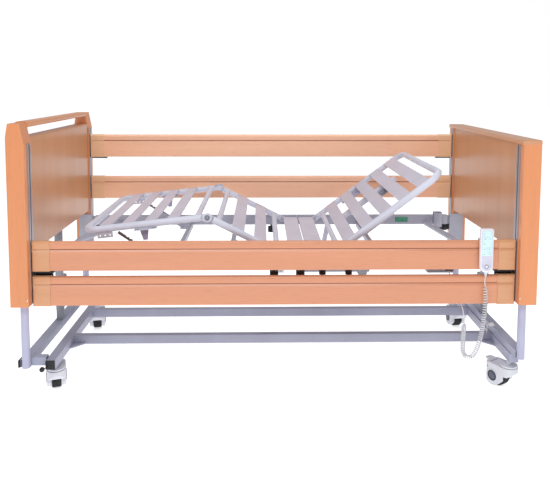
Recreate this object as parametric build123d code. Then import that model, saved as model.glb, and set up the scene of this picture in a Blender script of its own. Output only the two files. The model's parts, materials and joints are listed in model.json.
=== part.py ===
from build123d import *
from math import cos, radians, sin, tan
import os

# Adjustable nursing bed. Millimetres, +Z up, the head end towards +X. The origin is on the floor
# under the middle of the bed. Each node is written as one STEP file.

# ---- driving dimensions -------------------------------------------------------------------------
INNER_X = 1020.0            # inner face of each end board
BOARD = 76.0                # thickness of an end board
OUTER_X = INNER_X + BOARD
HALF_WIDTH = 515.0          # outer face of the posts
POST_WIDTH = 80.0
POST_Y = HALF_WIDTH - POST_WIDTH
POST_WALL = 6.0
BOARD_BOTTOM = 430.0
PANEL_BOTTOM = 645.0
FOOT_TOP = 1191.0
HEAD_TOP = 1125.0
CAP_THICK = 18.0
PANEL = 12.0                # board thickness of one panel
HANDLE_TOP = 1195.0
HANDLE_THICK = 24.0
FOOT_PANEL_TOP = 1131.0

CASTOR_TUBE = 40.0          # square tube that carries the castors
TUBE_LOW = 135.0            # underside of the base tubes
TUBE_HIGH = TUBE_LOW + CASTOR_TUBE
FOOT_TUBE_X = -960.0
HEAD_TUBE_X = 1050.0
FOOT_TUBE_HALF = 450.0
HEAD_TUBE_HALF = 412.0
LONG_TUBE_Y = 170.0
LONG_TUBE = 30.0
LIFT_TUBE = 35.0            # height of the lift frame tubes
FOOT_LIFT_LOW = 150.0       # the foot lift frame is welded beside its castor tube
HEAD_LIFT_LOW = TUBE_HIGH   # the head lift frame stands on its castor tube
FOOT_LIFT_X = -1062.0
HEAD_LIFT_X = 1055.0
WALL = 2.5

COLUMN_X = 1058.0
COLUMN_Y = 460.0
COLUMN = 34.0
COLUMN_TOP = 900.0
LIFTER = 39.0               # outer tube of a lift actuator
LIFTER_TOP = 880.0
ROD = 20.0

SIDE_Y0, SIDE_Y1 = 408.0, 433.0     # side member of the lying frame
SIDE_Z0, SIDE_Z1 = 567.0, 618.0
SIDE_END = 985.0
CROSSBAR = 20.0             # width of a crossbar between the side members
CROSSBAR_LOW = 555.0
BOX_TOP = 550.0             # the control box hangs under a short shelf tube
SPLIT_X = 139.0             # where the lying frame comes apart for transport
HINGE_Z = 605.0
BACK_HINGE_X = 235.0
THIGH_HINGE_X = 55.0
SECTION_TUBE = 30.0
SECTION_Y = 385.0
CORNER = 60.0
BACK_LENGTH = 605.0
THIGH_LENGTH = 389.0
CALF_LENGTH = 531.0
BACK_ANGLE = 37.0
THIGH_ANGLE = 26.8
CALF_ANGLE = 6.4
SLAT = 6.0
PIN = 6.0                   # radius of a hinge pin
FIT = 0.3                   # gap round a pin

RAIL_Y0, RAIL_Y1 = 453.0, 480.0
RAIL_HEIGHT = 124.0
RAIL_END = 1016.0
RAIL_CAP = 75.0
BEAD = 30.5                 # height of the rounded bead along a rail's top
GROOVE = 5.5                # depth of the groove under the bead
NEAR_TOP_Z, NEAR_BOTTOM_Z = 573.0, 424.0
FAR_TOP_Z, FAR_BOTTOM_Z = 944.0, 710.0

WHEEL = 50.0                # wheel radius
WHEEL_WIDTH = 41.0
HOUSING_WIDTH = 80.0
HOUSING_TOP = 104.0
HOUSING_FRONT = 40.0        # reach of the hood ahead of the swivel axis
HOUSING_REAR = 96.0
TRAIL = 55.0
PEDAL_X = 88.0              # pin of the brake pedal
PEDAL_Z = 97.0
CASTORS = {                 # swivel axis and heading of the trailing wheel, degrees from +X
    "near_foot": (FOOT_TUBE_X, -376.0, 108.0),
    "far_foot": (FOOT_TUBE_X, 312.0, 102.0),
    "near_head": (HEAD_TUBE_X - 10, -382.0, 120.0),
    "far_head": (HEAD_TUBE_X - 14, 312.0, 96.0),
}

LEAD = 5.0
COIL = 20.0                 # outside diameter of the curly cord


# ---- helpers ------------------------------------------------------------------------------------
def block(x0, x1, y0, y1, z0, z1):
    """A solid between two corners, given in any order."""
    middle = Pos((x0 + x1) / 2, (y0 + y1) / 2, (z0 + z1) / 2)
    return middle * Box(abs(x1 - x0), abs(y1 - y0), abs(z1 - z0))


def box_tube(x0, x1, y0, y1, z0, z1, along, wall=WALL):
    """A rectangular tube, open at both ends."""
    inset = {axis: 0 if axis == along else wall for axis in "xyz"}
    inner = block(
        x0 + inset["x"], x1 - inset["x"],
        y0 + inset["y"], y1 - inset["y"],
        z0 + inset["z"], z1 - inset["z"],
    )
    return block(x0, x1, y0, y1, z0, z1) - inner


def rod(start, end, radius):
    """A round bar between two points."""
    start, end = Vector(start), Vector(end)
    run = end - start
    return Plane(origin=(start + end) / 2, z_dir=run) * Cylinder(radius, run.length)


def pipe(start, end, diameter, wall=2.0):
    """A straight round tube, open at both ends."""
    return rod(start, end, diameter / 2) - rod(start, end, diameter / 2 - wall)


def swept(path, radius):
    """A round bar along a path."""
    return sweep(Plane(origin=path @ 0, z_dir=path % 0) * Circle(radius), path=path)


def bent_pipe(points, diameter, bend, wall=2.0):
    """A round tube bent to the same radius at each corner."""
    path = FilletPolyline(*points, radius=bend)
    return swept(path, diameter / 2) - swept(path, diameter / 2 - wall)


def mirror_y(shape):
    return mirror(shape, about=Plane.XZ)


def both_sides(shape):
    return [shape, mirror_y(shape)]


def star_knob(x, y, top, radius=20.0, height=26.0):
    """A hand screw with a lobed knob that hangs under a member, its stem upwards."""
    disc = Pos(x, y, top - height / 2 - 8) * Cylinder(radius, height - 10)
    for lobe in range(6):
        turn = radians(60 * lobe)
        notch = Pos(x + (radius + 2) * cos(turn), y + (radius + 2) * sin(turn), top - height / 2 - 8)
        disc -= notch * Cylinder(5, height)
    return disc + rod((x, y, top), (x, y, top - height), 5)


def pitched(shape, angle, x, z):
    """Turn a section about Y so that positive lifts its +X end, then put its hinge in place."""
    return Pos(x, 0, z) * Rot(0, -angle, 0) * shape


def save(name, *solids):
    """Write one node; solids may be shapes or lists of shapes."""
    flat = []
    for item in solids:
        flat += item if isinstance(item, list) else [item]
    pieces = [solid for item in flat for solid in item.solids()]
    shape = pieces[0] if len(pieces) == 1 else Compound(children=pieces)
    export_step(shape, f"parts/{name}.step")


os.makedirs("parts", exist_ok=True)


# ---- base ---------------------------------------------------------------------------------------
def castor_tube(x, half_length):
    half = CASTOR_TUBE / 2
    return box_tube(x - half, x + half, -half_length, half_length, TUBE_LOW, TUBE_HIGH, "y")


def long_tube(y):
    x0 = FOOT_TUBE_X + CASTOR_TUBE / 2
    x1 = HEAD_TUBE_X - CASTOR_TUBE / 2
    return box_tube(x0, x1, y - LONG_TUBE / 2, y + LONG_TUBE / 2, TUBE_LOW, TUBE_HIGH, "x")


def gusset(x, y, toward, side):
    """A flat corner plate in the angle between a long tube and a castor tube."""
    reach = 62.0
    corner = Polyline((x, y), (x + toward * reach, y), (x, y + side * reach), close=True)
    return Pos(0, 0, TUBE_LOW + 2) * extrude(make_face(corner), 5)


gussets = []
for side in (-1, 1):
    outer_y = side * (LONG_TUBE_Y + LONG_TUBE / 2)
    gussets.append(gusset(FOOT_TUBE_X + CASTOR_TUBE / 2, outer_y, 1, side))
    gussets.append(gusset(HEAD_TUBE_X - CASTOR_TUBE / 2, outer_y, -1, side))

end_walls = both_sides(
    block(
        HEAD_TUBE_X - CASTOR_TUBE / 2, HEAD_TUBE_X + CASTOR_TUBE / 2,
        HEAD_TUBE_HALF, HEAD_TUBE_HALF + WALL, TUBE_LOW, TUBE_HIGH,
    )
)
save(
    "base_frame",
    long_tube(-LONG_TUBE_Y), long_tube(LONG_TUBE_Y),
    castor_tube(FOOT_TUBE_X, FOOT_TUBE_HALF), castor_tube(HEAD_TUBE_X, HEAD_TUBE_HALF),
    end_walls, gussets,
)


def lift_cross(x, column_x, low):
    """Cross tube of a lift frame, its ends cut round to fit the guide columns."""
    tube = box_tube(x - 20, x + 20, -COLUMN_Y, COLUMN_Y, low, low + LIFT_TUBE, "y")
    for side in (-1, 1):
        y = side * COLUMN_Y
        tube -= rod((column_x, y, low - 1), (column_x, y, low + LIFT_TUBE + 1), COLUMN / 2)
    return tube.solids().sort_by(SortBy.VOLUME)[-1]


stub = box_tube(
    FOOT_LIFT_X + 20, FOOT_TUBE_X - 20, 408, 443, FOOT_LIFT_LOW, FOOT_LIFT_LOW + LIFT_TUBE, "x"
)
save(
    "lift_frames",
    lift_cross(FOOT_LIFT_X, -COLUMN_X, FOOT_LIFT_LOW), lift_cross(HEAD_LIFT_X, COLUMN_X, HEAD_LIFT_LOW),
    both_sides(stub),
)


def tube_cap():
    """Square plastic cap pressed into an end of the foot castor tube."""
    half = CASTOR_TUBE / 2
    y = FOOT_TUBE_HALF
    flange = block(FOOT_TUBE_X - half, FOOT_TUBE_X + half, y, y + 4, TUBE_LOW, TUBE_HIGH)
    flange = fillet(flange.faces().sort_by(Axis.Y)[-1].edges(), 1.5)
    reach = half - WALL
    middle = (TUBE_LOW + TUBE_HIGH) / 2
    plug = block(
        FOOT_TUBE_X - reach, FOOT_TUBE_X + reach, y - 15, y, middle - reach, middle + reach
    )
    return flange + plug


def bumper():
    """Rubber buffer on the outer face of the foot lift frame, beside a guide column."""
    x = FOOT_LIFT_X - 20
    pad = block(x - 9, x, COLUMN_Y - 32, COLUMN_Y + 8, FOOT_LIFT_LOW + 2, FOOT_LIFT_LOW + 33)
    return fillet(pad.edges().group_by(Axis.X)[0], 3)


def foot_ball():
    """Small ball knob on a short arm at the near end of the foot castor tube."""
    ball_at = (FOOT_TUBE_X - 29, -FOOT_TUBE_HALF - 20, TUBE_LOW + 9)
    arm_end = (FOOT_TUBE_X - 12, -FOOT_TUBE_HALF - 2, TUBE_LOW + 12)
    return Pos(*ball_at) * Sphere(11) + rod(ball_at, arm_end, 2)


save("tube_end_caps", both_sides(tube_cap()), both_sides(bumper()), foot_ball())

columns = []
for x, low in ((-COLUMN_X, FOOT_LIFT_LOW), (COLUMN_X, HEAD_LIFT_LOW)):
    columns += both_sides(pipe((x, COLUMN_Y, low), (x, COLUMN_Y, COLUMN_TOP), COLUMN, 3))
save("guide_columns", columns)


def lifter(x, low):
    """A lift actuator: clevis, motor beside it and the outer tube that the rod runs in."""
    clevis = block(x - 14, x + 14, -16, 16, low, 240)
    tube = pipe((x, 0, 240), (x, 0, LIFTER_TOP), LIFTER, 7)
    foot = rod((x, 0, 236), (x, 0, 262), LIFTER / 2)
    gearbox = block(x - 24, x + 24, 0, 66, 250, 300) - rod((x, 0, 240), (x, 0, 310), LIFTER / 2 - 7)
    motor = rod((x, 44, 300), (x, 44, 398), 21)
    return (clevis + foot + tube + gearbox + motor).clean()


save(
    "lift_actuators",
    lifter(-COLUMN_X, FOOT_LIFT_LOW + LIFT_TUBE), lifter(COLUMN_X, HEAD_LIFT_LOW + LIFT_TUBE),
)


# ---- castors ------------------------------------------------------------------------------------
def castor_hood():
    """Outer form: over the swivel axis and round the wheel, cut away ahead of the tyre."""
    side = HOUSING_WIDTH / 2
    round_wheel = Pos(TRAIL, WHEEL) * Circle(43)
    length = HOUSING_FRONT + HOUSING_REAR
    shoulder = Pos((HOUSING_REAR - HOUSING_FRONT) / 2, HOUSING_TOP - 9) * Rectangle(length, 18)
    outline = make_hull(round_wheel.edges() + shoulder.edges())
    hood = extrude(Plane.XZ * outline, side, both=True)
    hood -= block(-HOUSING_FRONT - 30, TRAIL - 45, -side - 1, side + 1, -20, 64)
    hood += rod((TRAIL, -side, WHEEL), (TRAIL, side, WHEEL), 43)
    upright = block(-HOUSING_FRONT, HOUSING_REAR, -side, side, 0, HOUSING_TOP)
    corners = upright.edges().filter_by(Axis.Z)
    upright = fillet(corners.group_by(Axis.X)[0], side - 2)
    upright = fillet(upright.edges().filter_by(Axis.Z).group_by(Axis.X)[-1], 16)
    return hood & upright


def castor_housing():
    """Hood in its own frame: swivel axis on Z, the wheel trails along +X."""
    body = castor_hood()
    slot = WHEEL_WIDTH / 2 + 1.5
    body -= rod((TRAIL, -slot, WHEEL), (TRAIL, slot, WHEEL), WHEEL + 2)
    body -= block(TRAIL - 60, TRAIL + 60, -slot, slot, -10, WHEEL)
    body -= block(HOUSING_REAR - 22, HOUSING_REAR + 30, -slot, slot, 60, HOUSING_TOP + 20)
    body += Pos(0, 0, HOUSING_TOP + 1) * Cylinder(34, 4)
    body += Pos(0, 0, HOUSING_TOP + 6) * Cylinder(38, 7)
    stem_low = HOUSING_TOP + 9
    body += Pos(0, 0, (TUBE_LOW + stem_low) / 2) * Cylinder(9, TUBE_LOW - stem_low)
    axle = rod((TRAIL, -slot - 1, WHEEL), (TRAIL, slot + 1, WHEEL), 6)
    side = HOUSING_WIDTH / 2
    hub = rod((TRAIL, -side - 2, WHEEL), (TRAIL, -side + 2, WHEEL), 26)
    body += [axle, hub, mirror_y(hub)]
    for y in (-side, side):
        body -= rod((HOUSING_REAR - 14, y - 5, 84), (HOUSING_REAR - 14, y + 5, 84), 4.5)
    return body - rod((PEDAL_X, -60, PEDAL_Z), (PEDAL_X, 60, PEDAL_Z), 3 + FIT)


def castor_wheel():
    half = WHEEL_WIDTH / 2
    tyre = rod((TRAIL, -half, WHEEL), (TRAIL, half, WHEEL), WHEEL)
    tyre = fillet(tyre.edges(), 7)
    tyre -= rod((TRAIL, -half, WHEEL), (TRAIL, half, WHEEL), 36)
    rim = rod((TRAIL, -half + 1, WHEEL), (TRAIL, half - 1, WHEEL), 36)
    rim -= rod((TRAIL, -half, WHEEL), (TRAIL, half, WHEEL), 6 + FIT)
    return [tyre, rim]


def castor_pedal():
    """Brake lip over the trailing end of the hood, on its own cross pin."""
    lip = block(HOUSING_REAR - 20, HOUSING_REAR + 20, -20, 20, HOUSING_TOP, HOUSING_TOP + 5)
    lip = fillet(lip.edges().group_by(Axis.X)[-1].filter_by(Axis.Z), 12)
    lug = block(PEDAL_X - 5, PEDAL_X + 5, -20, 20, PEDAL_Z - 4, HOUSING_TOP + 1)
    return lip + lug + rod((PEDAL_X, -30, PEDAL_Z), (PEDAL_X, 30, PEDAL_Z), 3)


for corner, (x, y, heading) in CASTORS.items():
    place = Pos(x, y, 0) * Rot(0, 0, heading)
    save(f"castor_{corner}_housing", place * castor_housing())
    save(f"castor_{corner}_wheel", [place * solid for solid in castor_wheel()])
    save(f"castor_{corner}_pedal", place * castor_pedal())


# ---- end boards ---------------------------------------------------------------------------------
def post(toward, top, chamfered):
    """Hollow wooden post at +Y; toward is the X direction of its board, -1 at the foot."""
    x0, x1 = INNER_X, OUTER_X
    shell = block(x0, x1, POST_Y, HALF_WIDTH, BOARD_BOTTOM, top)
    if chamfered:
        for x, inward, drop in ((x0, 17, 90), (x1, -11, 60)):
            cut = Polyline((x, top - drop), (x, top), (x + inward, top), close=True)
            shell -= Pos(0, HALF_WIDTH + 1, 0) * extrude(Plane.XZ * make_face(cut), POST_WIDTH + 2)
    shell -= block(
        x0 + POST_WALL, x1 - POST_WALL, POST_Y + POST_WALL, HALF_WIDTH - POST_WALL,
        BOARD_BOTTOM, 1095,
    )
    shell = fillet(shell.edges().filter_by(Axis.Z).group_by(Axis.Y)[-1], 3)
    bush = block(
        x0 + POST_WALL, x1 - POST_WALL, POST_Y + POST_WALL, HALF_WIDTH - POST_WALL,
        BOARD_BOTTOM, BOARD_BOTTOM + 30,
    )
    bush -= rod((COLUMN_X, COLUMN_Y, 400), (COLUMN_X, COLUMN_Y, 500), COLUMN / 2 + FIT)
    pair = both_sides(shell) + both_sides(bush)
    return [mirror(solid, about=Plane.YZ) for solid in pair] if toward < 0 else pair


def panels(toward, top):
    """Inner and outer panel, the rail between them at the top and the two at the bottom."""
    inner = block(INNER_X + 4, INNER_X + 4 + PANEL, -POST_Y, POST_Y, PANEL_BOTTOM, top - 24)
    outer = block(OUTER_X - 4 - PANEL, OUTER_X - 4, -POST_Y, POST_Y, PANEL_BOTTOM, top - 24)
    head = block(INNER_X + 4, OUTER_X - 4, -POST_Y, POST_Y, top - 24, top)
    head = fillet(head.edges().filter_by(Axis.Y).group_by(Axis.Z)[-1], 8 if toward < 0 else 1)
    foot = block(
        INNER_X + 4 + PANEL, OUTER_X - 4 - PANEL, 34, POST_Y, PANEL_BOTTOM, PANEL_BOTTOM + 20
    )
    group = [inner, outer, head] + both_sides(foot)
    return [mirror(solid, about=Plane.YZ) for solid in group] if toward < 0 else group


save("foot_posts", post(-1, FOOT_TOP, True))
save("foot_panels", panels(-1, FOOT_PANEL_TOP))
save("head_posts", post(1, HEAD_TOP - CAP_THICK, False))
save("head_panels", panels(1, HEAD_TOP - CAP_THICK))

handle = block(
    -OUTER_X + 10, -INNER_X - 10, -HALF_WIDTH, HALF_WIDTH, HANDLE_TOP - HANDLE_THICK, HANDLE_TOP
)
handle = fillet(handle.edges().filter_by(Axis.Y), 9)
handle &= block(-OUTER_X, -INNER_X, -POST_Y, POST_Y, 1100, 1300)
save("foot_handle_bar", handle)

cap = block(INNER_X - 4, OUTER_X, -HALF_WIDTH, HALF_WIDTH, HEAD_TOP - CAP_THICK, HEAD_TOP)
save("head_cap_rail", fillet(cap.edges().group_by(Axis.Z)[-1], 5))

rods = []
for x, top in ((-COLUMN_X, FOOT_PANEL_TOP - 24), (COLUMN_X, HEAD_TOP - CAP_THICK - 24)):
    rods.append(rod((x, 0, PANEL_BOTTOM), (x, 0, top), ROD / 2))
save("lift_rods", rods)


# ---- lying frame --------------------------------------------------------------------------------
def side_member(x0, x1):
    return both_sides(box_tube(x0, x1, SIDE_Y0, SIDE_Y1, SIDE_Z0, SIDE_Z1, "x"))


def crossbar(x, z0=CROSSBAR_LOW, z1=580.0):
    half = CROSSBAR / 2
    return box_tube(x - half, x + half, -SIDE_Y0, SIDE_Y0, z0, z1, "y")


def bow(end_x, middle_x):
    """Bent tube between the side members, its middle towards the board."""
    points = [
        (end_x, -SIDE_Y0, 575), (middle_x, -50, 575), (middle_x, 50, 575), (end_x, SIDE_Y0, 575)
    ]
    long_bow = bent_pipe(points, 28, 50)
    spans = ((-SIDE_Y0, -80), (-80, 80), (80, SIDE_Y0))
    return [long_bow & block(-1100, 1100, y0, y1, 500, 650) for y0, y1 in spans]


def end_bracket(side):
    """Hook plate that hangs the lying frame on the post, with its lug beside the side member."""
    plate = block(1004, 1080, 425, POST_Y, 470, 623)
    plate = fillet(plate.edges().filter_by(Axis.Y), 6)
    lug = block(950, 1012, SIDE_Y1, 438, 562, 612)
    bracket = plate + lug
    pair = both_sides(bracket)
    return [mirror(solid, about=Plane.YZ) for solid in pair] if side < 0 else pair


def hinge_pin(x):
    pin = rod((x, 377, HINGE_Z), (x, SIDE_Y0, HINGE_Z), PIN)
    head = rod((x, 373, HINGE_Z), (x, 377, HINGE_Z), 10)
    return both_sides(pin + head)


def actuator_lug(x, y, axis_z):
    """Two cheeks under a crossbar that hold the rear pin of a linear actuator."""
    cheeks = [
        block(x - 16, x + 16, y + offset - 2.5, y + offset + 2.5, axis_z - 14, CROSSBAR_LOW)
        for offset in (-18.5, 18.5)
    ]
    pin = rod((x, y - 24, axis_z), (x, y + 24, axis_z), 5)
    return [cheek - pin for cheek in cheeks] + [pin]


ACTUATOR_Z = 465.0
BACK_ACTUATOR_Y = 90.0
LEG_ACTUATOR_Y = -90.0
BACK_REAR_X = -200.0
LEG_REAR_X = 480.0
RATCHET_X = -490.0
RATCHET_Z = 575.0
RATCHET_Y = 340.0
RATCHET_PIN = 5.0

foot_bars = [crossbar(x) for x in (-450.0, BACK_REAR_X)]
foot_seat_bar = crossbar(115, 570, 610)
head_seat_bar = crossbar(165, 570, 610)
back_lug = actuator_lug(BACK_REAR_X, BACK_ACTUATOR_Y, ACTUATOR_Z)
leg_lug = actuator_lug(LEG_REAR_X, LEG_ACTUATOR_Y, ACTUATOR_Z + 12)

ratchet_mount = block(-502, -460, RATCHET_Y - 18, RATCHET_Y - 14, 562, 588)
ratchet_mount -= rod(
    (RATCHET_X, RATCHET_Y - 30, RATCHET_Z), (RATCHET_X, RATCHET_Y, RATCHET_Z), RATCHET_PIN + FIT
)

save(
    "deck_frame_foot",
    side_member(-SIDE_END, SPLIT_X - 1), foot_bars, foot_seat_bar, bow(-830, -965), end_bracket(-1),
    hinge_pin(THIGH_HINGE_X), back_lug, both_sides(ratchet_mount),
)
box_shelf = box_tube(730, 770, -SIDE_Y0 - 17, -185, BOX_TOP, SIDE_Z0, "y")

save(
    "deck_frame_head",
    side_member(SPLIT_X + 1, SIDE_END), crossbar(LEG_REAR_X), head_seat_bar, bow(862, 905),
    end_bracket(1), hinge_pin(BACK_HINGE_X), leg_lug, box_shelf,
)

seat = [block(62, SPLIT_X - 3, -365, 365, 610, 618), block(SPLIT_X + 3, 222, -365, 365, 610, 618)]
save("seat_slats", seat)

knobs = []
for x in (-5.0, 108.0):
    knobs += both_sides(star_knob(x, 420, SIDE_Z0, 19, 40))
for x in (203.0, 316.0):
    knobs += both_sides(star_knob(x, 420, SIDE_Z0, 15, 26))
for x in (-970.0, 970.0):
    knobs += both_sides(star_knob(x, 418, SIDE_Z0, 17, 30))


def rail_rest(end):
    """Buffer plate outside the end bracket, behind the lowered rails."""
    return both_sides(block(end * 940, end * 1010, 438, 449, 530, 590))


save("deck_knobs", knobs, rail_rest(-1), rail_rest(1))


def pole_socket():
    """Open sleeve for a lifting pole, on a round-topped plate inside the side member."""
    x, y = 925.0, 381.0
    sleeve = pipe((x, y, 560), (x, y, 640), 45, 5)
    plate = block(x - 22, x + 22, SIDE_Y0 - 6, SIDE_Y0, 570, 640)
    plate -= rod((x, y, 550), (x, y, 650), 20)
    return sleeve + plate


save("pole_sockets", both_sides(pole_socket()))

box = fillet(block(690, 810, -300, -180, 505, BOX_TOP).edges().filter_by(Axis.Z), 8)
gland = rod((772, -306, 527), (772, -296, 527), 6)
save("control_box", box + gland)


# ---- hinged sections ----------------------------------------------------------------------------
EYE_GAP = 26.0


def hinge_eye(direction, y=SECTION_Y, thick=6.0):
    """Flat eye welded to a tube end, with the hole for a hinge pin, at the origin."""
    ring = rod((0, y - thick / 2, 0), (0, y + thick / 2, 0), 17)
    tongue = block(0, direction * EYE_GAP, y - thick / 2, y + thick / 2, -14, 14)
    return (ring + tongue) - rod((0, y - thick, 0), (0, y + thick, 0), PIN + FIT)


def u_frame(length, direction, start):
    """Tube bent to a U in the section's own plane, in its straight and bent lengths."""
    x0, x1 = direction * start, direction * length
    points = [(x0, -SECTION_Y, 0), (x1, -SECTION_Y, 0), (x1, SECTION_Y, 0), (x0, SECTION_Y, 0)]
    whole = bent_pipe(points, SECTION_TUBE, CORNER)
    bend_x = direction * (length - CORNER)
    bend_y = SECTION_Y - CORNER
    far_x = direction * (length + 50)
    spans = [(x0, bend_x, y, side * 500) for side, y in ((-1, -bend_y), (1, bend_y))]
    spans += [(bend_x, far_x, y, side * 500) for side, y in ((-1, -bend_y), (1, bend_y))]
    spans.append((bend_x, far_x, -bend_y, bend_y))
    return [whole & block(xa, xb, ya, yb, -50, 50) for xa, xb, ya, yb in spans]


def side_bars(x0, x1):
    """The two side tubes as solid bars, to trim what meets them."""
    radius = SECTION_TUBE / 2
    return [rod((x0, y, 0), (x1, y, 0), radius) for y in (-SECTION_Y, SECTION_Y)]


def between(shape, x0, x1):
    for bar in side_bars(x0, x1):
        shape -= bar
    return shape.solids().sort_by(SortBy.VOLUME)[-1]


def cross_tube(x, span, diameter=25.0):
    tube = pipe((x, -SECTION_Y, 0), (x, SECTION_Y, 0), diameter)
    return between(tube, *span)


def slat(x, width, span):
    strip = block(x - width / 2, x + width / 2, -SECTION_Y, SECTION_Y, 10, 10 + SLAT)
    return between(strip, *span)


back_span = (-50, BACK_LENGTH)
back_frame = u_frame(BACK_LENGTH, 1, EYE_GAP) + both_sides(hinge_eye(1))

# Lever under the backrest hinge that its actuator pushes.
BACK_LEVER = 150.0
lever_turn = radians(-35.0)
back_pin = Vector(BACK_LEVER * sin(lever_turn), BACK_ACTUATOR_Y, -BACK_LEVER * cos(lever_turn))


def drive_lever(pin, y, anchor_x):
    """Pair of arms from a cross tube down to the actuator pin."""
    group = []
    for offset in (-20, 15):
        path = Polyline(
            (anchor_x - 14, 0), (anchor_x + 14, 0), (pin.X + 12, pin.Z), (pin.X, pin.Z - 12),
            (pin.X - 12, pin.Z), close=True,
        )
        arm = Pos(0, y + offset + 5, 0) * extrude(Plane.XZ * make_face(path), 5)
        group.append(arm)
    bolt = rod((pin.X, y - 22, pin.Z), (pin.X, y + 22, pin.Z), 5)
    return [arm - bolt for arm in group] + [bolt]


back_cross = cross_tube(52, back_span)
back_lever = drive_lever(back_pin, BACK_ACTUATOR_Y, 52)
lever_tube = rod((52, -300, 0), (52, 300, 0), 12.5)
back_parts = back_frame + [back_cross] + [piece - lever_tube for piece in back_lever]
save("backrest_frame", [pitched(part, BACK_ANGLE, BACK_HINGE_X, HINGE_Z) for part in back_parts])

back_slats = [slat(118 + 100 * row, 60, back_span) for row in range(5)]
save("backrest_slats", [pitched(part, BACK_ANGLE, BACK_HINGE_X, HINGE_Z) for part in back_slats])

thigh_span = (-THIGH_LENGTH, 50)
thigh_parts = []
for side in (-1, 1):
    tube = pipe(
        (-EYE_GAP, side * SECTION_Y, 0), (EYE_GAP - THIGH_LENGTH, side * SECTION_Y, 0), SECTION_TUBE
    )
    knee_eye = Pos(-THIGH_LENGTH, 0, 0) * hinge_eye(1, side * SECTION_Y)
    thigh_parts += [tube, hinge_eye(-1, side * SECTION_Y), knee_eye]
thigh_parts += [cross_tube(-52, thigh_span), cross_tube(52 - THIGH_LENGTH, thigh_span)]

LEG_LEVER = 130.0
leg_turn = radians(17.5)
leg_pin = Vector(LEG_LEVER * sin(leg_turn), LEG_ACTUATOR_Y, -LEG_LEVER * cos(leg_turn))
leg_lever = drive_lever(leg_pin, LEG_ACTUATOR_Y, -52)
lever_tube = rod((-52, -300, 0), (-52, 300, 0), 12.5)
thigh_parts += [piece - lever_tube for piece in leg_lever]
save("thigh_frame", [pitched(part, -THIGH_ANGLE, THIGH_HINGE_X, HINGE_Z) for part in thigh_parts])

thigh_slats = [slat(-140, 58, thigh_span), slat(-248, 58, thigh_span)]
save("thigh_slats", [pitched(part, -THIGH_ANGLE, THIGH_HINGE_X, HINGE_Z) for part in thigh_slats])

KNEE_X = THIGH_HINGE_X - THIGH_LENGTH * cos(radians(THIGH_ANGLE))
KNEE_Z = HINGE_Z + THIGH_LENGTH * sin(radians(THIGH_ANGLE))

calf_span = (-CALF_LENGTH, 50)
calf_frame = u_frame(CALF_LENGTH, -1, EYE_GAP)
calf_eyes = [hinge_eye(-1, side * (SECTION_Y + 6.6), 5) for side in (-1, 1)]
calf_parts = calf_frame + calf_eyes


def mattress_stop(x, y):
    """Short upright plate beside the slats that keeps the mattress from sliding."""
    foot = block(x - 48, x + 48, y - 14, y + 14, -22, -18)
    stem = block(x - 30, x + 30, y - 4, y + 4, -22, -14)
    return foot + stem


def end_plate(side):
    """Drilled plate under a foot corner."""
    plate = block(52 - CALF_LENGTH, 118 - CALF_LENGTH, side * 383, side * 387, -40, -12)
    for x in (64, 85, 106):
        plate -= rod((x - CALF_LENGTH, side * 380, -30), (x - CALF_LENGTH, side * 390, -30), 3.5)
    return plate


for side in (-1, 1):
    stop = mattress_stop(-270, side * 388)
    plate = end_plate(side)
    for bar in side_bars(-CALF_LENGTH + CORNER, 0):
        stop -= bar
        plate -= bar
    calf_parts += list(stop.solids()) + [plate.solids().sort_by(SortBy.VOLUME)[-1]]
save("calf_frame", [pitched(part, CALF_ANGLE, KNEE_X, KNEE_Z) for part in calf_parts])

calf_slats = [slat(-146 - 98 * row, 50, calf_span) for row in range(4)]
save("calf_slats", [pitched(part, CALF_ANGLE, KNEE_X, KNEE_Z) for part in calf_slats])


LINK_Y = 366.0              # outer face of the knee link arms
LINK_REACH = 46.0           # from the knee axis to the link tube


def knee_link():
    """Pivot plate outside the knee, the bolt through both sections and the arm inside it."""
    plate = rod((0, 397, 0), (0, 401, 0), 19) + block(-20, 20, 397, 401, -12, 12)
    bolt = rod((0, LINK_Y - 4, 0), (0, 404, 0), PIN)
    arm = block(-LINK_REACH, 0, LINK_Y - 4, LINK_Y, -10, 10)
    return plate + bolt + arm + rod((0, LINK_Y - 4, 0), (0, LINK_Y, 0), 13)


link_end = LINK_Y - 4
link_tube = pipe((-LINK_REACH, -link_end, 0), (-LINK_REACH, link_end, 0), 25)
knees = both_sides(knee_link()) + [link_tube]
save("knee_plates", [pitched(part, CALF_ANGLE, KNEE_X, KNEE_Z) for part in knees])

# ---- ratchet under the calf section ---------------------------------------------------------------
RATCHET_ANGLE = 33.4
RATCHET_LENGTH = 236.0


def ratchet_channel(y):
    """U channel that swings on the crossbar; along -X from its pin."""
    channel = block(-150, 17, y - 10, y + 10, -9, 9)
    channel -= block(-151, -17, y - 7, y + 7, -6, 10)
    return channel - rod((0, y - 20, 0), (0, y + 20, 0), 9 + FIT)


def ratchet_hub(y):
    """Pivot of the channel: a sleeve on a pin that turns in the cheek of the crossbar."""
    inward = -1 if y > 0 else 1
    sleeve = rod((0, y - 12, 0), (0, y + 12, 0), 9)
    return sleeve + rod((0, y, 0), (0, y + inward * 21, 0), RATCHET_PIN)


def ratchet_slide(y):
    """Toothed bar that runs in the channel."""
    bar = block(-RATCHET_LENGTH, -20, y - 6, y + 6, -5, 5)
    for tooth in range(8):
        x = -RATCHET_LENGTH + 40 + 16 * tooth
        bar -= block(x, x + 7, y - 7, y + 7, 2, 6)
    return bar


RATCHET_NODES = {
    "ratchet_hubs": ratchet_hub,
    "ratchet_channels": ratchet_channel,
    "ratchet_slides": ratchet_slide,
}
for name, maker in RATCHET_NODES.items():
    pair = [maker(-RATCHET_Y), maker(RATCHET_Y)]
    save(name, [pitched(part, -RATCHET_ANGLE, RATCHET_X, RATCHET_Z) for part in pair])


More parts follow.
